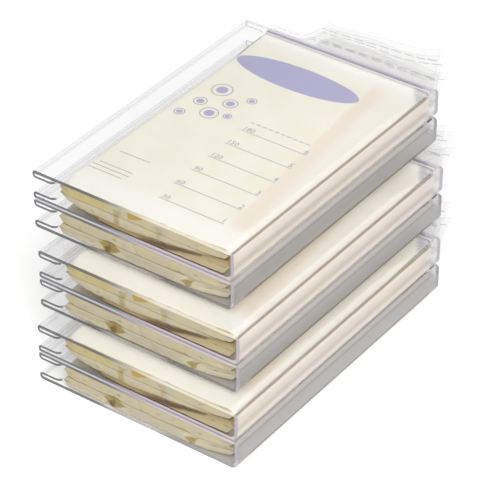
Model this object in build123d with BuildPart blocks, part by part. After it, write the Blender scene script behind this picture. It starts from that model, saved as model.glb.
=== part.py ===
"""Stack of clear open-ended freezer trays, each holding two flat breast milk bags.

Three boxes stand on each other, each set back a little from the one beneath it. A box is
two trays, and a tray is a flat sleeve: roof, floor and right wall in one moulding, with a
folded lip along the left edge of both panels. All lengths are in millimetres.

+X is to the right of the stack, +Y is away from the open front, +Z is up. The origin is
the centre of the lowest tray's underside.
"""
from build123d import *
from math import cos, pi, sin
import os

os.makedirs("parts", exist_ok=True)

# Tray. Its outside sizes follow from the bags that it holds.
tray_wall = 2.0  # roof, floor and right wall
foot_inside = 3.0  # lower right edge, inside radius
crown_inside = 0.5  # upper right edge, inside radius

# Folded lip along the left edge of the roof and of the floor
lip_width = 14.5  # reach of the lip from the left edge
lip_thickness = 1.4
lip_gap = 1.3  # air between a lip and its panel
hem_radius = 2.0  # outside of the fold
pocket_radius = 0.5  # inside of the fold
lip_corner_radius = 4.0  # free corners of the lip, seen from above

# How far each box stands left of and behind the box beneath it
middle_shift_left = 9.0
middle_shift_back = 14.0
top_shift_left = 15.0
top_shift_back = 16.0

# Milk bag
bag_width = 110.0  # over the welded side seams
bag_thickness = 6.5  # frozen flat
bag_seam = 4.0  # welded film along each side
film_thickness = 0.3
milk_length = 158.0  # from the bag's nose to where it starts to thin
taper_length = 22.0  # from full thickness down to bare film
neck_length = 6.0  # bare film between the taper and the zip
neck_rises = {"under": 0.0, "over": 2.0}  # how far the neck lies above the bag's middle
nose_length = 7.0  # rounded bottom end
nose_inset = 5.0  # how much narrower the bottom end is on each side
nose_share = 0.35  # thickness at the very end, as a share of the bag's
nose_steps = 3
milk_reach = 0.5  # share of the taper that the milk still fills
pillow_share = 0.45  # edge rounding of the filled part, as a share of its thickness

# Press-to-close zip: a grooved strip below and a ribbed strip above
zip_width = 4.0
zip_strip = 1.1  # thickness of each strip
rib_width = 1.0
rib_height = 0.5
rib_clearance = 0.05  # between the rib and its groove, on every side

# Tear-off header above the zip
header_height = 27.0
header_low = 7.0  # height of the cut-down left part
header_step = 24.0  # width of the cut-down left part
header_sweep = 10.0  # radius where the cut-down part rises
header_corner = 2.0  # rounding of the free corners

# Clearances
bag_gap = 0.3  # under and between the bags
bag_roof_gap = 0.4  # between the upper bag and the roof
bag_side_gap = 0.5  # between a bag and the lips' inner edge
bag_wall_gap = 3.0  # between a bag and the right wall

# Where each bag's nose lies behind the tray's open front
setbacks = {
    ("upper", "over"): 2.0,
    ("upper", "under"): 5.0,
    ("lower", "over"): 3.0,
    ("lower", "under"): 4.0,
}

# Sizes that follow from the ones above
lip_depth = tray_wall + lip_gap + lip_thickness
fill_width = bag_width - 2 * bag_seam
two_films = 2 * film_thickness
zip_start = milk_length + taper_length + neck_length
tray_depth = zip_start + zip_width  # open front to open back
tray_width = lip_width + bag_side_gap + bag_width + bag_wall_gap + tray_wall
tray_height = 2 * (tray_wall + bag_gap + bag_thickness) + bag_roof_gap

# Left front corner of each box, and the height it stands at
box_height = 2 * tray_height
bottom_corner = (-tray_width / 2, -tray_depth / 2, 0.0)
middle_corner = (
    bottom_corner[0] - middle_shift_left,
    bottom_corner[1] + middle_shift_back,
    box_height,
)
top_corner = (
    middle_corner[0] - top_shift_left,
    middle_corner[1] + top_shift_back,
    2 * box_height,
)
boxes = {"bottom": bottom_corner, "middle": middle_corner, "top": top_corner}
levels = {"lower": 0.0, "upper": tray_height}
bag_floors = {
    "under": tray_wall + bag_gap,
    "over": tray_wall + bag_gap + bag_thickness + bag_gap,
}


def cross_plane(x, y, z):
    """Upright plane across the tray: local x is +X, local y is +Z, facing the front."""
    return Plane(origin=(x, y, z), x_dir=(1, 0, 0), z_dir=(0, -1, 0))


def save(part, name):
    """Label a finished piece and write it as one STEP file."""
    part.label = name
    export_step(part, f"parts/{name}.step")


def corner(sketch, x, y):
    """The sketch's vertex nearest to a point."""
    return sketch.vertices().sort_by_distance((x, y))[0]


def make_tray(name, left, front, floor):
    """One sleeve: a C section open to the left, drawn out from back to front."""
    inner_right = tray_width - tray_wall
    inner_top = tray_height - tray_wall
    low = (Align.MIN, Align.MIN)
    with BuildPart() as tray:
        with BuildSketch(cross_plane(left, front + tray_depth, floor)) as section:
            Rectangle(tray_width, tray_height, align=low)
            with Locations((lip_width, tray_wall)):
                Rectangle(
                    inner_right - lip_width, inner_top - tray_wall, align=low, mode=Mode.SUBTRACT
                )
            with Locations((lip_thickness, tray_wall), (lip_thickness, inner_top - lip_gap)):
                Rectangle(lip_width - lip_thickness, lip_gap, align=low, mode=Mode.SUBTRACT)
            with Locations((0, lip_depth)):
                Rectangle(
                    lip_width, tray_height - 2 * lip_depth, align=low, mode=Mode.SUBTRACT
                )
            fillet(corner(section, tray_width, 0), foot_inside + tray_wall)
            fillet(corner(section, tray_width, tray_height), crown_inside + tray_wall)
            fillet(corner(section, inner_right, tray_wall), foot_inside)
            fillet(corner(section, inner_right, inner_top), crown_inside)
            for height in (0, lip_depth, tray_height - lip_depth, tray_height):
                fillet(corner(section, 0, height), hem_radius)
            for height in (
                tray_wall,
                tray_wall + lip_gap,
                inner_top - lip_gap,
                inner_top,
            ):
                fillet(corner(section, lip_thickness, height), pocket_radius)
        extrude(amount=tray_depth)
        lip_edge = left + lip_width
        free_corners = [
            edge
            for edge in tray.edges().filter_by(Axis.Z)
            if abs(edge.center().X - lip_edge) < pocket_radius
        ]
        fillet(free_corners, lip_corner_radius)
    save(tray.part, name)


def fill_sections(skin, reach):
    """Cross-sections of the filled part: distance from the nose, width, thickness, and how
    much of the neck's rise they have.

    skin is how far the sections lie inside the outer film, and reach is the share of the
    taper that they run down.
    """
    full = bag_thickness - 2 * skin
    width = fill_width - 2 * skin
    sections = []
    for step in range(nose_steps + 1):
        turn = pi / 2 * step / nose_steps
        distance = skin + (nose_length - skin) * (1 - cos(turn))
        share = nose_share + (1 - nose_share) * sin(turn)
        inset = nose_inset * (1 - sin(turn))
        sections.append((distance, width - 2 * inset, full * share, 0))
    sections.append((milk_length, width, full, 0))
    end = bag_thickness + (two_films - bag_thickness) * reach - 2 * skin
    sections.append((milk_length + taper_length * reach, width, end, reach))
    return sections


def fill_sketches(centre, nose, middle, rise, skin, reach):
    """The same sections drawn on their own upright planes, ready to be lofted."""
    sketches = []
    for distance, width, thickness, share in fill_sections(skin, reach):
        with BuildSketch(cross_plane(centre, nose + distance, middle + rise * share)) as cut:
            RectangleRounded(width, thickness, thickness * pillow_share)
        sketches.append(cut.sketch)
    return sketches


def make_pouch(name, centre, nose, middle, rise):
    """Film pouch with welded side seams and a flat neck, hollow where the milk is."""
    outside = fill_sketches(centre, nose, middle, rise, 0, 1)
    inside = fill_sketches(centre, nose, middle, rise, film_thickness, milk_reach)
    seam_line = [
        (nose + nose_length, middle),
        (nose + milk_length, middle),
        (nose + milk_length + taper_length, middle + rise),
        (nose + zip_start, middle + rise),
    ]
    upper = [(y, z + film_thickness) for y, z in seam_line]
    lower = [(y, z - film_thickness) for y, z in reversed(seam_line)]
    with BuildPart() as pouch:
        loft(outside, ruled=True)
        with BuildSketch(Plane.YZ.offset(centre)):
            with BuildLine():
                Polyline(*upper, *lower, close=True)
            make_face()
        extrude(amount=bag_width / 2, both=True)
        loft(inside, ruled=True, mode=Mode.SUBTRACT)
    save(pouch.part, name)


def make_milk(name, centre, nose, middle, rise):
    """Flat frozen slab that fills the pouch."""
    sections = fill_sketches(centre, nose, middle, rise, film_thickness, milk_reach)
    with BuildPart() as milk:
        loft(sections, ruled=True)
    save(milk.part, name)


def make_zip(name, centre, nose, middle):
    """Grooved lower strip and ribbed upper strip, pressed together."""
    near = nose + zip_start
    groove_width = rib_width + 2 * rib_clearance
    groove_depth = rib_height + rib_clearance
    near_edge = (Align.CENTER, Align.MIN)
    mid_line = Plane((centre, near + zip_width / 2, middle))
    with BuildPart() as strips:
        with BuildSketch(Plane((centre, near, middle))):
            Rectangle(bag_width, zip_width, align=near_edge)
        extrude(amount=-zip_strip)
        with BuildSketch(mid_line):
            Rectangle(bag_width, groove_width)
        extrude(amount=-groove_depth, mode=Mode.SUBTRACT)
    with BuildPart() as ribbed:
        with BuildSketch(Plane((centre, near, middle))):
            Rectangle(bag_width, zip_width, align=near_edge)
        extrude(amount=zip_strip)
        with BuildSketch(mid_line):
            Rectangle(bag_width, rib_width)
        extrude(amount=-rib_height)
    save(Compound(children=[strips.part, ribbed.part]), name)


def make_header(name, centre, nose, middle):
    """Tear-off strip of doubled film, cut down at its left end."""
    near = nose + zip_start + zip_width
    half = bag_width / 2
    with BuildPart() as header:
        with BuildSketch(Plane((centre, near, middle - film_thickness))) as outline:
            Rectangle(bag_width, header_height, align=(Align.CENTER, Align.MIN))
            with Locations((-half, header_low)):
                Rectangle(
                    header_step,
                    header_height - header_low,
                    align=(Align.MIN, Align.MIN),
                    mode=Mode.SUBTRACT,
                )
            fillet(corner(outline, header_step - half, header_low), header_sweep)
            for x, y in (
                (-half, header_low),
                (header_step - half, header_height),
                (half, header_height),
            ):
                fillet(corner(outline, x, y), header_corner)
        extrude(amount=two_films)
    save(header.part, name)


for box, (left, front, base) in boxes.items():
    for level, rise in levels.items():
        floor = base + rise
        make_tray(f"{box}_{level}_tray", left, front, floor)
        for layer, bag_floor in bag_floors.items():
            bag = f"{box}_{level}_{layer}"
            centre = left + lip_width + bag_side_gap + bag_width / 2
            nose = front + setbacks[level, layer]
            middle = floor + bag_floor + bag_thickness / 2
            rise = neck_rises[layer]
            make_pouch(f"{bag}_pouch", centre, nose, middle, rise)
            make_milk(f"{bag}_milk", centre, nose, middle, rise)
            make_zip(f"{bag}_zip", centre, nose, middle + rise)
            make_header(f"{bag}_header", centre, nose, middle + rise)
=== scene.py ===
from math import copysign, hypot, pi, radians

import bpy
import numpy as np
from mathutils import Matrix, Vector, noise


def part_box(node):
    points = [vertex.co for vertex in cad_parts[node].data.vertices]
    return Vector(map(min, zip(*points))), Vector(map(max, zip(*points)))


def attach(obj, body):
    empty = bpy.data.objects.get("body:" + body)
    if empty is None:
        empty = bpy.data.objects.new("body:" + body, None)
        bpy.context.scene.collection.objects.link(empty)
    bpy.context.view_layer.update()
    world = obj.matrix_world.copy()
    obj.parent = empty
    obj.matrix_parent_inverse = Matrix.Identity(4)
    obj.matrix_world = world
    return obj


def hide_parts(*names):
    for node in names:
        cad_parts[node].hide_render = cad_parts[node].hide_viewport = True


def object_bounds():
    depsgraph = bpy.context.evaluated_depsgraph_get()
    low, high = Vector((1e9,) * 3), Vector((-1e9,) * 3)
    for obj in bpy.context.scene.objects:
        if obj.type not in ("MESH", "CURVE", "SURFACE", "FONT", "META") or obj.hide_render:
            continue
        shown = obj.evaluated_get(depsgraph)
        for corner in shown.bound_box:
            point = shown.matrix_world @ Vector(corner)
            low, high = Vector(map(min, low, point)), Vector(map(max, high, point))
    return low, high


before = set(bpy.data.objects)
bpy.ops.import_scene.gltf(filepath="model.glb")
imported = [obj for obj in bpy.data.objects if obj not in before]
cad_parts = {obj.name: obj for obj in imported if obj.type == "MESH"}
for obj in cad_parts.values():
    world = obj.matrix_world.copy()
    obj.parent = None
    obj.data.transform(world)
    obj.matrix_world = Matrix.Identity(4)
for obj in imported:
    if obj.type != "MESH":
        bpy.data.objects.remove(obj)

cad_low, cad_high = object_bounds()
scene = bpy.context.scene

# ---------------------------------------------------------------- sizes, in millimetres
MM = 0.001
BAG_WIDTH = 110.0
BAG_THICKNESS = 6.5
HALF = BAG_THICKNESS / 2
MILK_LENGTH = 158.0
TAPER_LENGTH = 22.0  # from full thickness down to bare film
ZIP_START = 186.0  # from the bag's nose
ZIP_WIDTH = 4.0
ZIP_STRIP = 1.1  # thickness of each strip
HEADER_HEIGHT = 27.0
TRAY_WIDTH = 130.0
TRAY_HEIGHT = 18.0
TRAY_WALL = 2.0
CENTRE_X = 70.0  # the bag's middle, from the tray's left edge
PRINT_LENGTH = 225.0  # nose to the far edge of the header, for the film's own coordinates

BOXES = ("bottom", "middle", "top")
LEVELS = ("lower", "upper")
LAYERS = ("under", "over")


def smooth(value, start, end):
    """0 before start, 1 after end, and a soft step between."""
    share = np.clip((value - start) / (end - start), 0, 1)
    return share * share * (3 - 2 * share)


def colour(red, green, blue):
    """A screen colour, 0 to 255, as the linear colour that shaders take."""
    linear = []
    for part in (red, green, blue):
        part /= 255
        linear.append(part / 12.92 if part <= 0.04045 else ((part + 0.055) / 1.055) ** 2.4)
    return (*linear, 1.0)


# ---------------------------------------------------------------- material nodes
class Recipe:
    """The nodes of one material or world, and short ways to wire them."""

    def __init__(self, owner):
        owner.use_nodes = True
        self.owner = owner
        self.tree = owner.node_tree
        self.tree.nodes.clear()

    def fill(self, socket, value):
        """Link a socket to a node's output, or set it to a plain value."""
        if isinstance(value, bpy.types.NodeSocket):
            self.tree.links.new(value, socket)
        else:
            socket.default_value = value

    def node(self, kind, inputs=(), **settings):
        made = self.tree.nodes.new(kind)
        for key, value in settings.items():
            setattr(made, key, value)
        for key, value in dict(inputs).items():
            self.fill(made.inputs[key], value)
        return made

    def math(self, operation, first, second=0.0, third=0.0, clamp=False):
        inputs = {0: first, 1: second, 2: third}
        made = self.node("ShaderNodeMath", inputs, operation=operation, use_clamp=clamp)
        return made.outputs[0]

    def times(self, *values):
        """The product of two or more values."""
        product, *others = values
        for value in others:
            product = self.math("MULTIPLY", product, value)
        return product

    def band(self, value, start, end, low=0.0, high=1.0):
        """low before start, high after end, soft between; start may lie after end."""
        made = self.node(
            "ShaderNodeMapRange",
            {"Value": value, "From Min": start, "From Max": end, "To Min": low, "To Max": high},
            interpolation_type="SMOOTHSTEP",
        )
        return made.outputs["Result"]

    def strip(self, value, low, high, soft):
        """1 between two values, with soft ends."""
        above = self.band(value, low - soft, low + soft)
        return self.times(above, self.band(value, high + soft, high - soft))

    def blend(self, factor, first, second):
        """A colour between two colours."""
        inputs = {0: factor, 6: first, 7: second}
        return self.node("ShaderNodeMix", inputs, data_type="RGBA").outputs[2]

    def mix(self, factor, first, second):
        """A surface between two surfaces."""
        inputs = {0: factor, 1: first, 2: second}
        return self.node("ShaderNodeMixShader", inputs).outputs[0]

    def noise(self, point, scale, detail):
        inputs = {"Vector": point, "Scale": scale, "Detail": detail}
        return self.node("ShaderNodeTexNoise", inputs).outputs["Fac"]

    def attribute(self, name):
        return self.node("ShaderNodeAttribute", attribute_name=name).outputs["Fac"]

    def patch(self, spot, corners, soft):
        """1 within a flat convex patch, given by its corners, with soft sides."""
        pairs = list(zip(corners, corners[1:] + corners[:1]))
        area = sum(ax * by - bx * ay for (ax, ay), (bx, by) in pairs)
        shares = []
        for (ax, ay), (bx, by) in pairs:
            length = copysign(hypot(bx - ax, by - ay), -area)
            side = ((by - ay) / length, (ax - bx) / length, (ay * bx - ax * by) / length)
            reach = self.node("ShaderNodeVectorMath", {0: spot, 1: side}, operation="DOT_PRODUCT")
            shares.append(self.band(reach.outputs["Value"], -soft, soft))
        return self.times(*shares)

    def place(self, corner):
        """Distances in millimetres from one corner of the piece, along its three axes."""
        point = self.node("ShaderNodeTexCoord").outputs["Object"]
        shift = tuple(-value / MM for value in corner)
        inputs = {"Vector": point, "Location": shift, "Scale": (1 / MM, 1 / MM, 1 / MM)}
        local = self.node("ShaderNodeMapping", inputs).outputs[0]
        return self.node("ShaderNodeSeparateXYZ", {0: local}).outputs

    def sheet_place(self, width, length):
        """Distances along a sheet of film, from its own UV coordinates."""
        uv = self.node("ShaderNodeTexCoord").outputs["UV"]
        axes = self.node("ShaderNodeSeparateXYZ", {0: uv}).outputs
        return self.times(axes[0], width), self.times(axes[1], length)

    def paint(self, tone, roughness, more=()):
        inputs = {"Base Color": tone, "Roughness": roughness, **dict(more)}
        return self.node("ShaderNodeBsdfPrincipled", inputs).outputs[0]

    def clear(self, red, green, blue):
        tone = (red, green, blue, 1)
        return self.node("ShaderNodeBsdfTransparent", {"Color": tone}).outputs[0]

    def seen_straight(self):
        """1 for rays from the camera, straight or by way of a shine or a clear piece."""
        rays = self.node("ShaderNodeLightPath").outputs
        seen = self.math("MAXIMUM", rays["Is Camera Ray"], rays["Is Glossy Ray"])
        return self.math("MAXIMUM", seen, rays["Is Transmission Ray"])

    def finish(self, shader, output="ShaderNodeOutputMaterial"):
        self.node(output, {"Surface": shader})
        return self.owner


def material(name):
    """The recipe of a new material."""
    return Recipe(bpy.data.materials.new(name))


# ---------------------------------------------------------------- materials
# The right wall of a tray: its colour, the colour of its far end, how much it hides what is
# behind it, how much less at its far end, and the lines that run along it, each as two
# heights, softness and colour. These colours are painted light and shade: the lower wall's
# grey and its dark lines are painted shade of its shaded inside, the upper wall's cream and
# bands paint the bags behind it lighter than their shade, the far end's grey is a painted
# reflection, the pale lines at the foot and the crown where the trays meet are painted light
# against their contact shadow, and the upper wall's dark top line is painted shade on its
# rounded edge.
WALLS = {
    "lower": dict(
        tone=(161, 158, 157), far_tone=(158, 156, 160), veil=0.9, far_relief=0.4,
        lines=((16.4, 19, 0.4, (177, 171, 168)), (14.6, 15.6, 0.4, (146, 142, 139)),
               (-1, 4.8, 0.4, (112, 107, 98))),
    ),
    "upper": dict(
        tone=(228, 217, 205), far_tone=(198, 194, 199), veil=0.72, far_relief=0.24,
        lines=((7.2, 10.4, 0.9, (206, 195, 183)), (2.6, 3.8, 0.5, (181, 171, 164)),
               (-1, 2.3, 0.3, (238, 231, 226)), (17.1, 18.6, 0.25, (150, 138, 112))),
    ),
}
WHITE = (1, 1, 1, 1)
PANEL_VEIL = 0.012  # the least that clear plastic hides
SHADOW_RELIEF = 0.85  # how much of what the plastic hides still lets light through
GLOSS_FACING = 0.035  # share of light that a pane reflects, seen square on
GLOSS_GRAZING = 0.7  # and how much more at a grazing angle
INNER_RIGHT = TRAY_WIDTH - TRAY_WALL


def wall_tones(r, z, far_end, level):
    """The right wall's painted light and shade, in lines that run from front to back."""
    look = WALLS[level]
    tone = colour(*look["tone"])
    for low, high, soft, line_tone in look["lines"]:
        tone = r.blend(r.strip(z, low, high, soft), tone, colour(*line_tone))
    return r.blend(far_end, tone, colour(*look["far_tone"]))


def wall_veil(r, z, far_end, level):
    """How much the right wall hides: less at its far end, so that the zips show through."""
    look = WALLS[level]
    relief = r.times(far_end, look["far_relief"])
    if level == "lower":
        relief = r.times(relief, r.band(z, 11, 12.5))
    return r.math("SUBTRACT", look["veil"], relief)


def edge_tones(r, x, z, upright, level):
    """The cut front edges, in painted reflection and shade: dark at the left, pale at the right,
    with a line where the two trays of a box meet."""
    from_joint = r.math("SUBTRACT", TRAY_HEIGHT, z) if level == "lower" else z
    meeting = r.band(from_joint, 0.85, 0.4)
    plain_side = r.band(from_joint, TRAY_HEIGHT / 2, TRAY_HEIGHT / 2 + 1)
    right_part = r.band(x, 38, 84)
    if level == "lower":
        # Painted shade: the lower tray's edge is grey, darker at the right, for the shaded floor
        # behind it
        plain_tone = r.blend(r.band(x, 76, 88), colour(166, 161, 157), colour(108, 103, 100))
        sooner = r.times(plain_side, r.band(x, 36, 50))
        right_part = r.math("MAXIMUM", right_part, sooner)
    else:
        plain_tone = colour(238, 232, 218)
    left_tone = r.blend(meeting, colour(90, 88, 90), colour(196, 195, 206))
    right_tone = r.blend(meeting, colour(216, 206, 214), colour(160, 151, 172))
    right_tone = r.blend(plain_side, right_tone, plain_tone)
    tone = r.blend(right_part, left_tone, right_tone)
    return r.blend(upright, tone, colour(186, 176, 194))


def clear_plastic(name, corner, level):
    """Moulded clear plastic: see-through panels, cut edges in painted reflection and shade, a
    right wall painted with the light and shade of what lies behind it, and painted shade at the
    lower floor's right front corner.
    """
    r = material(name)
    x, y, z = r.place(corner)
    spot = r.node("ShaderNodeNewGeometry").outputs
    outward = r.math("MULTIPLY_ADD", spot["Backfacing"], -2.0, 1.0)
    turn = r.node("ShaderNodeSeparateXYZ", {0: spot["True Normal"]}).outputs
    nx, ny = r.times(turn[0], outward), r.times(turn[1], outward)

    # The parts of the tray: its front and back edges, its right wall and the upright cut
    # edge of that, the wall's far end, and the folded hem along the left
    front = r.band(ny, -0.35, -0.75)
    back = r.band(ny, 0.35, 0.75)
    wall = r.times(r.band(nx, 0.2, 0.5), r.band(x, INNER_RIGHT - 1, INNER_RIGHT))
    upright = r.band(x, INNER_RIGHT - 1, INNER_RIGHT + 0.4)
    far_end = r.band(y, 178, 184)
    hem = r.times(r.band(x, 2.2, 0.6), r.band(ny, -0.5, -0.2))

    edge_tone = edge_tones(r, x, z, upright, level)
    back_tone = r.blend(upright, colour(206, 203, 212), colour(140, 137, 140))
    body = r.blend(wall, edge_tone, wall_tones(r, z, far_end, level))
    body = r.blend(back, body, back_tone)
    body = r.blend(hem, body, colour(178, 176, 190))
    # How much each part hides
    veils = [
        (front, r.band(x, 42, 84, 0.92, 0.72)),
        (wall, wall_veil(r, z, far_end, level)),
        (back, r.math("MULTIPLY_ADD", upright, 0.35, 0.45)),
        (hem, 0.14),
    ]
    if level == "lower":
        # Painted shade on the floor at its right front corner, in front of the bag
        low_part = r.times(r.band(z, 6, 4.5), r.band(z, 1, 1.6))
        shade = r.times(r.band(x, 74, 108), r.band(y, 13, 7), low_part)
        shade = r.times(shade, r.math("SUBTRACT", 1.0, front))
        body = r.blend(shade, body, colour(164, 159, 157))
        veils.append((shade, 0.85))
    veil = PANEL_VEIL
    for part, amount in veils:
        veil = r.math("MULTIPLY_ADD", part, amount, veil, clamp=True)
    shadow_ray = r.node("ShaderNodeLightPath").outputs["Is Shadow Ray"]
    veil = r.times(veil, r.math("MULTIPLY_ADD", shadow_ray, -SHADOW_RELIEF, 1.0))

    facing = r.node("ShaderNodeLayerWeight", {"Blend": 0.5}).outputs["Facing"]
    grazing = r.math("POWER", facing, 5.0)
    gloss = r.math("MULTIPLY_ADD", grazing, GLOSS_GRAZING, GLOSS_FACING)
    polish = {"Color": WHITE, "Roughness": 0.08}
    shine = r.node("ShaderNodeBsdfAnisotropic", polish).outputs[0]
    pane = r.mix(gloss, r.clear(0.995, 0.995, 0.995), shine)
    return r.finish(r.mix(veil, pane, r.paint(body, 0.28)))


def milk_tones(r, x, y, point):
    """Cream milk with a beige ridge along its right side."""
    drift = r.noise(point, 0.05, 3.0)
    ridge_middle = r.math("MULTIPLY_ADD", y, -0.105, 48.5)
    wander = r.math("MULTIPLY_ADD", drift, 5.0, -2.5)
    off = r.math("ADD", r.math("SUBTRACT", x, ridge_middle), wander)
    ridge = r.times(r.band(off, -6.5, -3), r.band(off, 9, 2), r.band(y, 5, 25), 0.85)
    tone = r.blend(r.band(drift, 0.35, 0.65), colour(247, 243, 228), colour(243, 239, 221))
    layers = (
        (r.band(off, 4, 9), (244, 240, 229)),  # right of the ridge
        (ridge, (239, 227, 209)),
        (r.band(y, 168, 184), (247, 245, 238)),  # towards the zip
        # Lighter towards the nose: painted light against the shade from the box stacked above
        (r.band(y, 26, 12), (249, 247, 238)),  # towards the nose
        (r.band(x, -53.9, -54.3), (196, 188, 176)),  # left seam
    )
    for share, layer_tone in layers:
        tone = r.blend(share, tone, colour(*layer_tone))
    return tone


def nose_tones(r, x, point, kind):
    """Painted shade at the nose: tan where it faces the front, a painted shadow in its crease,
    a painted shade below that, and painted shade in its folds.
    """
    below_tone, crease_tone = NOSES[kind]["tones"]
    mottle = r.noise(point, 0.11, 2.0)
    tone = r.blend(r.band(mottle, 0.38, 0.62), colour(188, 177, 139), colour(182, 173, 148))
    tone = r.blend(r.attribute("below_crease"), tone, colour(*below_tone))
    tone = r.blend(r.attribute("crease"), tone, colour(*crease_tone))
    from_edge = r.math("ADD", x, CENTRE_X)
    inputs = {0: from_edge, 1: r.attribute("level"), 2: 1.0}
    spot = r.node("ShaderNodeCombineXYZ", inputs).outputs[0]
    for tint, soft, *corners in FOLD_SHADE[kind]:
        tone = r.blend(r.patch(spot, corners, soft), tone, colour(*tint))
    return tone


def film_over_milk(kind):
    """Thin film on frozen milk, see-through where the film is empty."""
    level, layer = kind
    r = material(f"film_{level}_{layer}")
    from_left, y = r.sheet_place(BAG_WIDTH, PRINT_LENGTH)
    x = r.math("SUBTRACT", from_left, BAG_WIDTH / 2)
    point = r.node("ShaderNodeCombineXYZ", {0: x, 1: y, 2: 0.0}).outputs[0]
    # The nose end takes the painted shade of nose_tones
    tone = r.blend(
        r.attribute("nose_end"), milk_tones(r, x, y, point), nose_tones(r, x, point, kind)
    )
    bump = {"Strength": 0.12, "Distance": 0.0004, "Height": r.noise(point, 0.6, 4.0)}
    grain = r.node("ShaderNodeBump", bump).outputs[0]
    coat = {"Coat Weight": 0.25, "Coat Roughness": 0.2, "Normal": grain}
    milk = r.paint(tone, 0.42, coat)
    film = r.mix(0.42, r.clear(0.97, 0.97, 0.97), r.paint(colour(226, 224, 232), 0.25))
    return r.finish(r.mix(r.attribute("bare_film"), milk, film))


TEAR_LINES = (9.0, 20.0)  # from the header's near edge
TEAR_LINE_HALF = 0.22
TEAR_PITCH = 9.0
TEAR_GAP = 0.25  # share of the pitch


def header_film():
    """Doubled tear-off film: cloudy and see-through, with perforated tear lines."""
    r = material("header_film_clear")
    x, y = r.sheet_place(BAG_WIDTH, HEADER_HEIGHT)
    near_line, far_line = (
        r.math("COMPARE", y, place, TEAR_LINE_HALF) for place in TEAR_LINES
    )
    along = r.math("FRACT", r.math("DIVIDE", x, TEAR_PITCH))
    dash = r.math("GREATER_THAN", along, TEAR_GAP)
    marks = r.times(r.math("ADD", near_line, far_line), dash)
    tone = r.blend(marks, colour(234, 232, 231), colour(172, 172, 176))
    veil = r.math("MULTIPLY_ADD", marks, 0.4, 0.11)
    return r.finish(r.mix(veil, r.clear(0.99, 0.99, 0.99), r.paint(tone, 0.3)))


def zip_plastic(name, corner, dark_end):
    """Pale press-to-close strip with a violet line along it."""
    r = material(name)
    x, y = r.place(corner)[:2]
    line_place = r.math("MULTIPLY_ADD", x, 0.0145, 2.1)
    off = r.math("ABSOLUTE", r.math("SUBTRACT", y, line_place))
    line = r.times(r.band(off, 0.9, 0.5), r.band(x, 105, 103))
    near = r.band(y, 1.4, 0.6)
    tone = r.blend(near, colour(232, 229, 240), colour(245, 242, 236))
    tone = r.blend(line, tone, colour(150, 140, 180))
    veil = r.math("MULTIPLY_ADD", r.math("MAXIMUM", line, near), 0.6, 0.35)
    # dark_end paints a dark glint at the zip's right end
    if dark_end:
        end = r.band(x, 101, 104)
        tone = r.blend(end, tone, colour(44, 32, 80))
        veil = r.math("MULTIPLY_ADD", end, 0.6, veil, clamp=True)
    return r.finish(r.mix(veil, r.clear(0.97, 0.97, 0.98), r.paint(tone, 0.35)))


def plain_ink(name, tint, shade):
    """Print ink, a little uneven."""
    r = material(name)
    point = r.node("ShaderNodeTexCoord").outputs["Object"]
    cloud = r.band(r.noise(point, 900.0, 2.0), 0.3, 0.7)
    return r.finish(r.paint(r.blend(cloud, colour(*tint), colour(*shade)), 0.5))


# ---------------------------------------------------------------- modelling helpers
def start(add, name, **settings):
    """Add one primitive on its own and name it."""
    bpy.ops.object.select_all(action="DESELECT")
    add(**settings)
    made = bpy.context.object
    made.name = made.data.name = name
    return made


def edit(obj):
    """Open a piece for editing, with all of it selected."""
    bpy.context.view_layer.objects.active = obj
    bpy.ops.object.mode_set(mode="EDIT")
    bpy.ops.mesh.select_all(action="SELECT")


def leave():
    bpy.ops.object.mode_set(mode="OBJECT")


def points_of(obj):
    flat = np.zeros(len(obj.data.vertices) * 3)
    obj.data.vertices.foreach_get("co", flat)
    return flat.reshape(-1, 3)


def move_points(obj, points):
    obj.data.vertices.foreach_set("co", np.asarray(points, float).ravel())
    obj.data.update()


def set_uv(obj, across, along):
    """Lay out a sheet's UV coordinates from one pair of values for each vertex."""
    corners = np.zeros(len(obj.data.loops), int)
    obj.data.loops.foreach_get("vertex_index", corners)
    uv = np.stack([across, along], 1)[corners]
    obj.data.uv_layers[0].data.foreach_set("uv", uv.ravel())


def settle(obj):
    """Put the object's place and size into its mesh."""
    bpy.ops.object.select_all(action="DESELECT")
    obj.select_set(True)
    bpy.context.view_layer.objects.active = obj
    bpy.ops.object.transform_apply(location=True, rotation=True, scale=True)


def thicken(obj, thickness, offset):
    """Give a sheet a thickness: offset -1 is against its normals, 0 is to both sides."""
    bpy.context.view_layer.objects.active = obj
    skin = obj.modifiers.new("thickness", "SOLIDIFY")
    skin.thickness, skin.offset = thickness, offset
    bpy.ops.object.modifier_apply(modifier=skin.name)


def join(parts, name):
    """Make one object of several."""
    bpy.ops.object.select_all(action="DESELECT")
    for part in parts:
        part.select_set(True)
    bpy.context.view_layer.objects.active = parts[0]
    bpy.ops.object.join()
    whole = bpy.context.object
    whole.name = whole.data.name = name
    return whole


def copy_piece(obj, name, shift):
    """A copy with its own mesh, moved by shift in its mesh."""
    made = obj.copy()
    made.data = obj.data.copy()
    made.name = made.data.name = name
    scene.collection.objects.link(made)
    made.data.transform(Matrix.Translation(shift))
    return made


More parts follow.
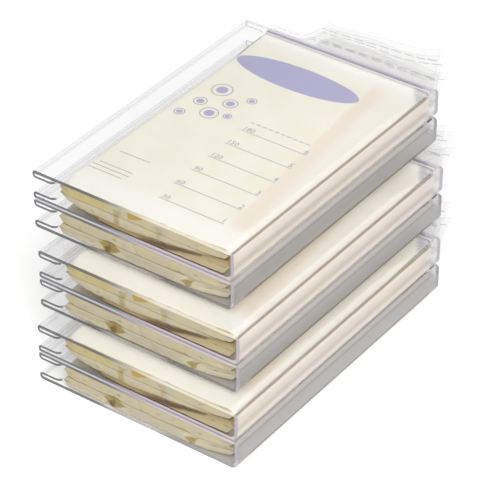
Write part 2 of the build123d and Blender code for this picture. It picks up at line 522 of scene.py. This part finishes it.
# ---------------------------------------------------------------- the bags' own shape
COLUMNS = 96
CURL_ROWS = 12
FINE_REACH = 42  # rows are 1 mm apart as far back as this
FAR_ROWS = 64
NOSE_ROUND = 2.6  # how far back the nose curls into the top and the underside
NOSE_INSET = 3.5  # how much narrower the nose is on each side
NECK_RISE = {"under": 0.0, "over": 2.0}
WELD = 1.0  # flat film outside the filled part
SIDE_ROUND = 2.4
FILM = 0.16  # half the thickness of the bag where it is empty
SHARP_SHARE = 0.85  # how much of its curl a sharp side gives up
BLEND_BACK = 30  # how far back the nose's own outline runs, seen from above
BLEND_MIDDLE = 22  # how far back it lifts or lowers the bag
BLEND_SKIN = 10  # how far back it thins or thickens the bag
EDGE_REACH = 12  # how far back the nose's sharp edges and its crease run
EDGE = 0.01  # points nearer an edge than this are on it
NECK_CLIMB = (140, 178)  # over which the bag rises to its neck
NECK_MIDDLE = 172
LAYER_SEEDS = {"under": 5, "over": 4}  # so that the two bags of a tray wrinkle differently

# Depths of the dents in the film
DIMPLE = 0.18
SIDE_DENT = 0.35
SIDE_DENT_PLACE = 50  # from the bag's middle
NECK_PUCKER = {1: 0.12, -1: 0.6}
NOSE_DENT = 0.5
PLEAT_PRESS = 0.25  # share of a pleat's depth that shows on top

# How far back each row of points lies, and how far it has swollen from the nose's tip
curl = np.arange(CURL_ROWS) / CURL_ROWS * pi / 2
row_back = np.concatenate([
    NOSE_ROUND * (1 - np.cos(curl)),
    np.arange(NOSE_ROUND, FINE_REACH, 1.0),
    np.linspace(FINE_REACH, ZIP_START - 0.15, FAR_ROWS),
    [ZIP_START],
])
row_swell = np.concatenate([np.sin(curl) ** 0.6, np.ones(len(row_back) - CURL_ROWS)])
ROWS = len(row_back) - 1

# The nose of each bag, seen from the front: distance from the tray's left edge, and the
# height of the bag's top and underside there above the bag's middle plane. Below its
# crease the nose steps back and may lean forward again; fade is how far down the crease's
# painted shadow reaches. Sharp sides meet the nose at an edge. tones holds the painted
# shade below the crease and the painted shadow in it, cast by the bag above.
NOSES = {
    ("upper", "over"): dict(
        top=((14, 1.0), (20, 2.7), (30, 3.1), (120, 3.2), (125, 2.4)),
        low=((14, -2.6), (18, -3.38), (95, -3.38), (112, -3.3), (120, -2.8), (125, -1.8)),
        back=((14, 1.6), (22, -0.4), (110, -0.4), (125, 1.2)),
        crease=((14, -9), (125, -9)), step=0, lean=0, fade=1, sharp=(-1,),
        tones=((190, 180, 150), (190, 180, 150)),
    ),
    ("upper", "under"): dict(
        top=((14, 2.6), (20, 3.3), (125, 3.3)),
        low=((14, 2.3), (17, 2.0), (30, -1.5), (43, -3.0), (56, -3.45), (125, -3.48)),
        back=((14, -1.4), (22, -3.4), (110, -3.4), (125, -2.6)),
        crease=((14, -2.9), (26, -2.6), (43, -1.9), (60, -2.4), (76, -1.2), (92, 0.3),
                (107, 2.5), (118, 3.6), (125, 4)),
        step=1.4, lean=2.7, fade=3.1, sharp=(-1, 1),
        tones=((180, 167, 132), (134, 110, 60)),
    ),
    ("lower", "over"): dict(
        top=((14, 1.4), (22, 2.8), (110, 3.2), (125, 2.6)),
        low=((14, -3.3), (43, -3.3), (50.7, -2.2), (56, -3.3), (88, -3.3), (96, -2.5),
             (104, -3.3), (114, -2.5), (125, -1.6)),
        back=((14, -1.2), (24, -2.9), (112, -2.9), (125, -1.0)),
        crease=((14, -9), (125, -9)), step=0, lean=0, fade=1, sharp=(-1, 1),
        tones=((190, 180, 150), (190, 180, 150)),
    ),
    ("lower", "under"): dict(
        top=((14, 2.4), (22, 3.2), (44, 3.2), (50.7, 3.4), (57, 3.2), (96, 3.4), (125, 3.2)),
        low=((14, -3.45), (108, -3.45), (118, -3.0), (125, -2.2)),
        back=((14, -3.2), (24, -3.9), (98, -3.9), (108, -3.0), (118, -1.0), (125, 0.5)),
        crease=((14, 0.0), (29, 1.0), (42.7, 2.2), (50.7, 4.4), (57.2, 1.5), (69, 2.3),
                (76.8, 1.2), (85, 2.2), (96, 4.2), (104, 3.3), (114, 4.2), (125, 5)),
        step=0.3, lean=0, fade=0.5, sharp=(-1, 1),
        tones=((192, 184, 156), (158, 146, 104)),
    ),
}

# Pleats in the nose: distance from the tray's left edge, depth, width of the steep and of
# the gentle side, how far back it runs, and its lean per millimetre of height
PLEATS = {
    ("upper", "over"): ((54.5, 1.0, 0.8, 2.6, 6, 0.30), (82, 0.7, 0.8, 3.0, 6, 0.10),
                        (36, 0.4, 3.0, 1.0, 6, -0.2)),
    ("upper", "under"): ((40, 0.5, 1.2, 3.0, 14, 0.1), (84, 0.5, 2.4, 1.0, 12, -0.1)),
    ("lower", "over"): ((30, 0.6, 1.0, 3.2, 6, 0.3), (66, 0.6, 2.6, 0.9, 6, -0.5),
                        (88, 0.5, 0.9, 3.0, 6, 0.2)),
    ("lower", "under"): ((46.6, 1.8, 3.0, 5.5, 7, 0.5), (30, 0.5, 2.2, 0.8, 6, -0.3),
                         (72, 0.5, 0.9, 3.4, 6, 0.2), (100, 0.9, 2.5, 2.0, 6, 0.3)),
}

# Painted shade in the folds and creases of the nose, as patches of colour: the colour,
# how soft its sides are, and its corners, each as distance from the tray's left edge and
# height above the bag's middle plane
FOLD_SHADE = {
    ("upper", "over"): (
        ((172, 142, 58), 0.7, (60.5, 0.6), (61.5, -1.9), (67, -0.6), (75, 3.4), (60, 3.4)),
        ((162, 150, 108), 1.2, (51.4, -1.0), (51.2, -5), (55.0, -5), (55.6, 0.4)),
        ((168, 157, 120), 1.0, (79.6, 0.2), (80.0, -5), (82.8, -5), (83.0, 0.8)),
        ((186, 171, 116), 3.0, (12, 4), (12, -5), (32, -8), (50, -2), (46, 4)),
        ((182, 167, 116), 1.0, (84, 3.4), (98, 1.2), (122, 1.0), (124, 3.4)),
    ),
    ("upper", "under"): (
        ((162, 150, 108), 1.2, (51.4, 5), (51.2, -2.4), (55.0, -2.2), (55.6, 5)),
        ((168, 157, 120), 1.0, (79.6, 5), (80.0, 0), (82.8, 0.6), (83.0, 5)),
        ((84, 62, 34), 0.7, (68, -2.9), (110, 1.5), (110, 0.7), (86, -3.3), (72, -3.6)),
    ),
    ("lower", "over"): (
        ((172, 157, 100), 0.7, (77, -6.0), (97, -3.0), (97, -1.0), (78, -4.0)),
        ((176, 162, 112), 2.0, (10, -9), (36, -6), (30, -2.4), (14, -2.4)),
    ),
    ("lower", "under"): (
        ((150, 130, 62), 0.5, (42.0, 2.2), (46.2, -4.8), (57.4, 1.6), (50.7, 4.4)),
        ((116, 97, 40), 0.7, (44.2, -0.6), (46.4, -4.2), (49.2, -2.6), (48.6, 1.6)),
        ((156, 140, 80), 0.6, (96.7, -0.5), (99.4, -3.1), (103.4, -1.8), (105.4, 2.8)),
        ((180, 172, 148), 3.0, (58, 5), (60, -6), (98, -6), (92, 5)),
    ),
}


def table(pairs, across):
    """Read a listed table at each distance from the tray's left edge."""
    places, values = zip(*pairs)
    return np.interp(across + CENTRE_X, places, values)


def hump(value, middle, width):
    """1 at the middle, falling off softly on both sides."""
    return np.exp(-(((value - middle) / width) ** 2))


def uneven(across, back, scale_across, scale_back, seed):
    """Smooth noise over the bag, one value for each spot."""
    return np.array([
        noise.noise(Vector((a * scale_across, b * scale_back, seed)))
        for a, b in zip(across, back)
    ])


def slab(kind, across, back, swell, side):
    """The bag's middle height, and how far above that one of its sides lies."""
    nose = NOSES[kind]
    top_nose, low_nose = table(nose["top"], across), table(nose["low"], across)
    nose_middle = (top_nose + low_nose) / 2 * (1 - smooth(back, 0, BLEND_MIDDLE))
    middle = nose_middle + NECK_RISE[kind[1]] * smooth(back, *NECK_CLIMB)
    at_nose = top_nose if side > 0 else low_nose
    skin = at_nose + (side * HALF - at_nose) * smooth(back, NOSE_ROUND / 2, BLEND_SKIN)
    side_start = BAG_WIDTH / 2 - WELD - SIDE_ROUND
    into_side = np.clip((np.abs(across) - side_start) / SIDE_ROUND, 0, 1)
    taper = 1 - smooth(back, MILK_LENGTH - 10, MILK_LENGTH + TAPER_LENGTH)
    return middle, (skin - middle) * np.sqrt(1 - into_side * into_side) * swell * taper


def wrinkle(kind, across, back, y, height, side):
    """How far the film is pressed in, and y with the dents in its nose."""
    seed = LAYER_SEEDS[kind[1]]
    broad = uneven(across, back, 0.06, 0.05, 3.0 * side + 5 + seed)
    ripple = np.clip(uneven(across, back, 0.25, 0.22, 9.0 * side + seed), 0, 1)
    pucker = np.clip(np.sin(across * 0.55 + 4 * broad), 0, 1)
    press = DIMPLE * np.clip(broad + 0.2, 0, 1)
    press += SIDE_DENT * hump(np.abs(across), SIDE_DENT_PLACE, 3) * ripple
    press += NECK_PUCKER[side] * hump(back, NECK_MIDDLE, 7) * pucker
    y = y + NOSE_DENT * (1 - smooth(back, 0, 9)) * ripple
    for place, depth, steep, gentle, length, lean in PLEATS[kind]:
        off = across + CENTRE_X - place - lean * height
        dent = depth * np.clip(1 - np.where(off < 0, -off / steep, off / gentle), 0, 1)
        y += dent * (1 - smooth(back, 0, NOSE_ROUND * 2))
        press += PLEAT_PRESS * dent * (1 - smooth(back, 0, length)) * (side > 0)
    return press, y


def crease_line(nose, across, back, z):
    """Where the nose is below its crease, how much painted shadow it takes from the crease,
    and how far it steps back there."""
    crease_height = table(nose["crease"], across)
    under = crease_height - z
    below = smooth(under, -0.2, 0.3)
    crease = below * np.exp(-np.clip(under, 0, None) / nose["fade"])
    step_back = nose["step"] * smooth(under, -0.3, 0.7)
    step_back -= nose["lean"] * np.clip(under / (crease_height + HALF), 0, 1)
    return below, crease, step_back * (1 - smooth(back, 2, EDGE_REACH))


def bare_share(across, back):
    """Where the film holds no milk: along the side seams and at its far right corner."""
    seam = smooth(np.abs(across), BAG_WIDTH / 2 - 0.9, BAG_WIDTH / 2 - 0.1)
    seam *= 0.8 * smooth(back, 1, 6)
    far_corner = (across - 47) / 8 + (back - NECK_MIDDLE) / 12
    return np.maximum(seam, 0.85 * smooth(far_corner, 0.9, 1.15))


def bag_points(kind, across, back, swell, side):
    """Where the spots of one sheet lie, and their marks; side is 1 on top, -1 underneath.

    across is measured from the bag's middle and back from its nose. swell grows from 0 at
    the tip of the nose to 1 where the curl of the nose ends. The marks are what the film's
    colours read.
    """
    nose = NOSES[kind]
    sharp = side in nose["sharp"]
    x = across * (1 - NOSE_INSET / (BAG_WIDTH / 2) * (1 - swell))
    y = back + table(nose["back"], across) * (1 - smooth(back, 0, BLEND_BACK))
    if sharp:
        near_edge = 1 - smooth(back, NOSE_ROUND, EDGE_REACH)
        y -= SHARP_SHARE * np.minimum(back, NOSE_ROUND) * near_edge

    middle, full = slab(kind, across, back, swell, side)
    press, y = wrinkle(kind, across, back, y, full + middle, side)
    full = np.where(np.abs(full) > press, full - np.sign(full) * press, 0.0)
    film = FILM * (np.abs(across) < BAG_WIDTH / 2 - 0.3) * swell
    film += ZIP_STRIP * smooth(back, ZIP_START - 5, ZIP_START - 0.4)
    z = middle + side * np.maximum(side * full, film)
    welded = (np.abs(across) > BAG_WIDTH / 2 - EDGE) | (back > ZIP_START - EDGE)
    z = np.where(welded | (swell < 1e-6), middle, z)

    below, crease, step_back = crease_line(nose, across, back, z)
    nose_end = 1 - smooth(swell, 0.9, 0.995)
    # Sharp sides carry the nose's painted shade a little way back, over the edge that would catch
    # the light
    if sharp:
        nose_end = np.maximum(nose_end, 1 - smooth(back, 4, EDGE_REACH))
    marks = {
        "bare_film": bare_share(across, back),
        "nose_end": nose_end,
        "level": z,
        "below_crease": below,
        "crease": crease,
    }
    return np.stack([x, y + step_back, z], 1), marks


def make_pouch_shell(kind):
    """Top and bottom sheet of film, welded all round and filled with frozen milk."""
    level, layer = kind
    shell = start(
        bpy.ops.mesh.primitive_grid_add, f"{level}_{layer}_shell",
        x_subdivisions=COLUMNS, y_subdivisions=ROWS, size=2,
    )
    sheet = points_of(shell)
    edit(shell)
    bpy.ops.mesh.duplicate()
    bpy.ops.mesh.flip_normals()
    leave()
    across = sheet[:, 0] * BAG_WIDTH / 2
    row = np.rint((sheet[:, 1] + 1) / 2 * ROWS).astype(int)
    back = row_back[row]
    sheets = [bag_points(kind, across, back, row_swell[row], side) for side in (1, -1)]
    move_points(shell, np.concatenate([points for points, marks in sheets]) * MM)
    for name in sheets[0][1]:
        values = np.concatenate([marks[name] for points, marks in sheets])
        attribute = shell.data.attributes.new(name, "FLOAT", "POINT")
        attribute.data.foreach_set("value", values.astype(np.float32))
    set_uv(shell, np.tile(across / BAG_WIDTH + 0.5, 2), np.tile(back / PRINT_LENGTH, 2))
    edit(shell)
    bpy.ops.mesh.remove_doubles(threshold=0.01 * MM)
    leave()
    bpy.ops.object.shade_smooth()
    shell.data.materials.append(film_over_milk(kind))
    return shell


# ---------------------------------------------------------------- the headers
HEADER_LOW = 7.0  # height of the cut-down left part
HEADER_SWEEP = 10.0  # radius where the cut-down part rises
SWEEP_START = -42.0  # from the bag's middle
STEP_END = (-32.6, -31.0)  # over which the cut reaches the header's full height
HEADER_OVERLAP = 0.6  # how far the films reach in between the zip's strips
HEADER_SPREAD = 0.15  # each film's distance from the header's middle
HEADER_WAVE = 0.4
HEADER_FILM_THICKNESS = 0.12

# How the far edge of each film lies: distance from the bag's middle, then how far it is
# drawn aside, back and up there
HEADER_LIE = {
    ("upper", "over"): (
        ((-31, -1.3, 0.6, 0.3), (0, -4.2, 1.0, 1.8), (25, -5.9, 0.8, 4.0),
         (40, -9.0, 2.2, 4.8), (55, -15.4, 6.4, 5.2)),
        ((-31, 1.3, -2.5, -0.3), (0, -2.7, -0.6, 0.7), (25, -3.7, -2.6, 2.4),
         (40, -5.0, -0.8, 3.6), (55, -8.2, 4.2, 4.4)),
    ),
    ("upper", "under"): (
        ((-31, 0, -1, 0.5), (0, 0, -0.5, 1.0), (25, 0.3, -0.3, 1.8), (40, 1.2, -1.6, 2.3),
         (55, -8.2, 2.6, 2.6)),
        ((-31, 0, -1.5, 0), (0, 0, -1.5, 0.3), (25, -1, -2.5, 0.7), (40, -3.3, -4.4, 1.0),
         (55, -13.2, -0.6, 1.4)),
    ),
    ("lower", "over"): (
        ((-31, 0, 0, 0.4), (0, 0, 0, 0.6), (25, -5, -1, 0.4), (40, -12, -2, 0.2),
         (55, -20, -4, 0)),
        ((-31, 0, 0, 0), (0, 0, -1, -0.2), (25, -5, -2, -0.6), (40, -13, -3, -1.0),
         (55, -22, -6, -1.4)),
    ),
    ("lower", "under"): (
        ((-31, 0, -1, 0.2), (0, 0, -1, 0.2), (25, -6, -2, 0), (40, -13, -3, 0),
         (55, -21, -6, 0)),
        ((-31, 0, -2, -0.3), (0, 0, -2, -0.5), (25, -6, -3, -0.8), (40, -14, -4, -1.0),
         (55, -23, -8, -1.2)),
    ),
}


def make_header_films(kind):
    """Two films above the zip, cut down at the left and fanned out at the right."""
    level, layer = kind
    films = []
    for sheet, lie in enumerate(HEADER_LIE[kind]):
        film = start(
            bpy.ops.mesh.primitive_grid_add, f"{level}_{layer}_header_{sheet}",
            x_subdivisions=80, y_subdivisions=16, size=2,
        )
        spots = points_of(film)
        across = spots[:, 0] * BAG_WIDTH / 2
        share = (spots[:, 1] + 1) / 2
        sweep = np.clip((across - SWEEP_START) / HEADER_SWEEP, 0, 1)
        reach = HEADER_LOW + HEADER_SWEEP * (1 - np.sqrt(1 - sweep**2))
        full_rise = HEADER_HEIGHT - HEADER_LOW - HEADER_SWEEP
        reach += full_rise * smooth(across, *STEP_END)
        places, *moves = zip(*lie)
        aside, longer, lift = (np.interp(across, places, move) for move in moves)
        x = across + aside * share
        y = ZIP_START + ZIP_WIDTH - HEADER_OVERLAP + share * (reach + longer)
        wave = HEADER_WAVE * np.sin(across * 0.11 + sheet * 1.7)
        z = lift * share**1.4 + wave * share
        z += (-HEADER_SPREAD if sheet else HEADER_SPREAD) + NECK_RISE[layer]
        move_points(film, np.stack([x, y, z], 1) * MM)
        set_uv(film, across / BAG_WIDTH + 0.5, share)
        bpy.ops.object.shade_smooth()
        thicken(film, HEADER_FILM_THICKNESS * MM, 0.0)
        films.append(film)
    whole = join(films, f"{level}_{layer}_header_films")
    whole.data.materials.append(HEADER_FILM)
    return whole


# ---------------------------------------------------------------- print on the bags
# Places are measured from the bag's middle and from its nose
PATCH = (-11.6, 155.8, 40.2, 12.2)  # the writing patch: middle and half sizes
SCALE_START = 19.0
SCALE_STEP = 15.3
SCALE_LINES = (
    (-3.0, 38.5, "30"), (-5.0, 38.5, "60"), (-5.0, 38.0, "90"),
    (-5.5, 38.0, "120"), (-6.0, 37.0, "150"), (-6.5, 36.5, "180"),
)
SCALE_LINE_WIDTH = 0.42
DIGIT_HEIGHTS = (4.9, 5.4)  # at the left and at the right end of a line
DIGIT_STARTS = (0.3, -3.0)  # measured from the same two ends
DIGIT_LIFT = 0.9  # above the line
DASH_PLACES = range(-5, 34, 4)
DASHES_Y = 104.5
DASH_SIZE = (2.6, 0.6)
WORD_LINES = ((-40, 21.0, 22), (-39, 24.5, 24), (-38, 28.0, 22), (-36, 41.5, 20))
WORD_LINE_WIDTH = 0.5
MOTIF = ((-38, 122, 6.2), (-26, 113, 4.4), (-41, 106, 4.0), (-30, 99, 5.4), (-44, 91, 3.2),
         (-18, 122, 3.0), (-20, 102, 2.6))
MOTIF_RING = 0.55  # width of the ring, and the dot's share of its size
PRINT_START = 20.0  # height from which the print is laid down on the bag
PRINT_LIFT = 0.1  # so that it never sinks into the film
PRINT_THICKNESS = 0.05


def flat_shape(add, name, x, y, wide, deep, **settings):
    """One flat primitive, stretched to its size and open for editing."""
    shape = start(add, name, location=(x, y, 0), **settings)
    shape.scale = (wide, deep, 1)
    settle(shape)
    edit(shape)
    return shape


def flat_disc(x, y, wide, deep, cuts, corners):
    """A filled oval, cut up so that it can follow the bag."""
    disc = flat_shape(
        bpy.ops.mesh.primitive_circle_add, "disc", x, y, wide, deep,
        vertices=corners, radius=1, fill_type="TRIFAN",
    )
    bpy.ops.mesh.subdivide(number_cuts=cuts)
    leave()
    return disc


def flat_ring(x, y, radius, line):
    ring = flat_shape(
        bpy.ops.mesh.primitive_circle_add, "ring", x, y, radius, radius,
        vertices=40, radius=1, fill_type="NGON",
    )
    bpy.ops.mesh.inset(thickness=line)
    bpy.ops.mesh.delete(type="FACE")
    leave()
    return ring


def flat_bar(x, y, long, thin):
    bar = flat_shape(bpy.ops.mesh.primitive_plane_add, "bar", x, y, long, thin, size=1)
    bpy.ops.mesh.subdivide(number_cuts=6)
    leave()
    return bar


def flat_number(text, x, y, height):
    """A plain number; it reads from the front, with x at its left."""
    bpy.ops.object.select_all(action="DESELECT")
    bpy.ops.object.text_add(location=(x, y, 0))
    words = bpy.context.object
    words.data.body = text
    words.data.size = height
    words.data.resolution_u = 2
    bpy.ops.object.convert(target="MESH")
    digits = bpy.context.object
    settle(digits)
    return digits


def make_print(kind, shell):
    """Measuring scale with plain numbers, a writing patch and a few plain rings."""
    level, layer = kind
    soft, inked = [flat_disc(*PATCH, 6, 72)], []
    for step, (first, last, value) in enumerate(SCALE_LINES):
        y = SCALE_START + SCALE_STEP * step
        inked.append(flat_bar((first + last) / 2, y, last - first, SCALE_LINE_WIDTH))
        ends = zip((value, str(step + 1)), (first, last), DIGIT_STARTS, DIGIT_HEIGHTS)
        for text, end, offset, height in ends:
            inked.append(flat_number(text, end + offset, y + DIGIT_LIFT, height))
    for x in DASH_PLACES:
        inked.append(flat_bar(x, DASHES_Y, *DASH_SIZE))
    for x, y, length in WORD_LINES:
        inked.append(flat_bar(x, y, length, WORD_LINE_WIDTH))
    for x, y, size in MOTIF:
        inked.append(flat_ring(x, y, size, MOTIF_RING))
        soft.append(flat_disc(x, y, size * MOTIF_RING, size * MOTIF_RING, 1, 32))
    for obj, ink in [(o, PATCH_INK) for o in soft] + [(o, LINE_INK) for o in inked]:
        obj.data.materials.clear()
        obj.data.materials.append(ink)
    mark = join(soft + inked, f"{level}_{layer}_print")
    spots = points_of(mark)
    spots[:, 2] = PRINT_START
    move_points(mark, spots * MM)
    lie = mark.modifiers.new("lie_on_the_bag", "SHRINKWRAP")
    lie.target, lie.wrap_method, lie.wrap_mode = shell, "PROJECT", "ABOVE_SURFACE"
    lie.use_project_z, lie.use_negative_direction, lie.use_positive_direction = True, True, False
    lie.offset = PRINT_LIFT * MM
    bpy.ops.object.modifier_apply(modifier=lie.name)
    edit(mark)
    bpy.ops.mesh.normals_make_consistent(inside=False)
    leave()
    thicken(mark, PRINT_THICKNESS * MM, -1.0)
    return mark


# ---------------------------------------------------------------- finishes
HEADER_FILM = header_film()
PATCH_INK = plain_ink("violet_patch_ink", (173, 169, 208), (168, 164, 204))
LINE_INK = plain_ink("grey_violet_ink", (172, 167, 182), (165, 160, 176))

for box_name in BOXES:
    for level in LEVELS:
        tray = f"{box_name}_{level}_tray"
        low_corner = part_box(tray)[0]
        finish = clear_plastic(f"clear_{tray}", low_corner, level)
        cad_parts[tray].data.materials.clear()
        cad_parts[tray].data.materials.append(finish)

# ---------------------------------------------------------------- the bags
for level in LEVELS:
    for layer in LAYERS:
        kind = (level, layer)
        models = {"shell": make_pouch_shell(kind), "films": make_header_films(kind)}
        models["print"] = make_print(kind, models["shell"])
        for box_name in BOXES:
            bag = f"{box_name}_{level}_{layer}"
            low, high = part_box(f"{bag}_pouch")
            place = Vector(((low.x + high.x) / 2, low.y, (low.z + high.z) / 2))
            shell = copy_piece(models["shell"], f"{bag}_filled_pouch", place)
            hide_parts(f"{bag}_pouch", f"{bag}_milk")
            films = copy_piece(models["films"], f"{bag}_header_films", place)
            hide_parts(f"{bag}_header")
            mark = copy_piece(models["print"], f"{bag}_scale_print", place)
            for piece in (shell, films, mark):
                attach(piece, f"{bag}_bag")
            low_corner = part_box(f"{bag}_zip")[0]
            finish = zip_plastic(f"zip_{bag}", low_corner, kind == ("lower", "over"))
            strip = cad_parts[f"{bag}_zip"]
            strip.data.materials.clear()
            strip.data.materials.append(finish)
        for model in models.values():
            bpy.data.objects.remove(model)

# ---------------------------------------------------------------- floor, light and camera
FLOOR_SIZE = 16
FLOOR_TONE = (0.95, 0.95, 0.95, 1)
FLOOR_LIFT = 0.24  # light of its own that the camera sees
SKY_LIGHT = 0.33  # what the sky lights the piece with, as a share of how bright it looks
LAMP_AIM = (0, 0, 0.05)
CAMERA_PLACE = (0.6657, -0.9213, 0.8667)
CAMERA_DOWN = 35.37  # degrees below level
CAMERA_TURN = 35.84  # degrees round from facing +Y
CAMERA_LENS = 193.2


def soft_lamp(name, place, size, power):
    """A square lamp that faces the piece."""
    lamp = bpy.data.lights.new(name, "AREA")
    lamp.shape, lamp.size, lamp.energy = "SQUARE", size, power
    holder = bpy.data.objects.new(name, lamp)
    holder.location = place
    towards = Vector(LAMP_AIM) - Vector(place)
    holder.rotation_euler = towards.to_track_quat("-Z", "Y").to_euler()
    scene.collection.objects.link(holder)


floor = start(
    bpy.ops.mesh.primitive_plane_add, "pale_floor", size=FLOOR_SIZE, location=(0, 0, cad_low.z)
)
r = material("pale_floor")
paint = r.node("ShaderNodeBsdfDiffuse", {"Color": FLOOR_TONE}).outputs[0]
glow_strength = r.times(r.seen_straight(), FLOOR_LIFT)
glow = r.node("ShaderNodeEmission", {"Strength": glow_strength}).outputs[0]
both = r.node("ShaderNodeAddShader", {0: paint, 1: glow}).outputs[0]
floor.data.materials.append(r.finish(both))

scene.world = scene.world or bpy.data.worlds.new("studio")
r = Recipe(scene.world)
strength = r.math("MULTIPLY_ADD", r.seen_straight(), 1 - SKY_LIGHT, SKY_LIGHT)
sky = r.node("ShaderNodeBackground", {"Color": WHITE, "Strength": strength}).outputs[0]
r.finish(sky, "ShaderNodeOutputWorld")

soft_lamp("top_softbox", (0.95, -0.6, 2.0), 1.6, 18)
soft_lamp("front_softbox", (1.6, -1.9, 2.2), 2.6, 78)

camera = bpy.data.objects.new("camera", bpy.data.cameras.new("camera"))
camera.location = CAMERA_PLACE
camera.rotation_euler = (radians(90 - CAMERA_DOWN), 0, radians(CAMERA_TURN))
camera.data.lens = CAMERA_LENS
camera.data.sensor_width = 36
camera.data.clip_start, camera.data.clip_end = 0.05, 60
scene.collection.objects.link(camera)
scene.camera = camera

scene.view_settings.view_transform = "Standard"
scene.cycles.transparent_max_bounces = 64
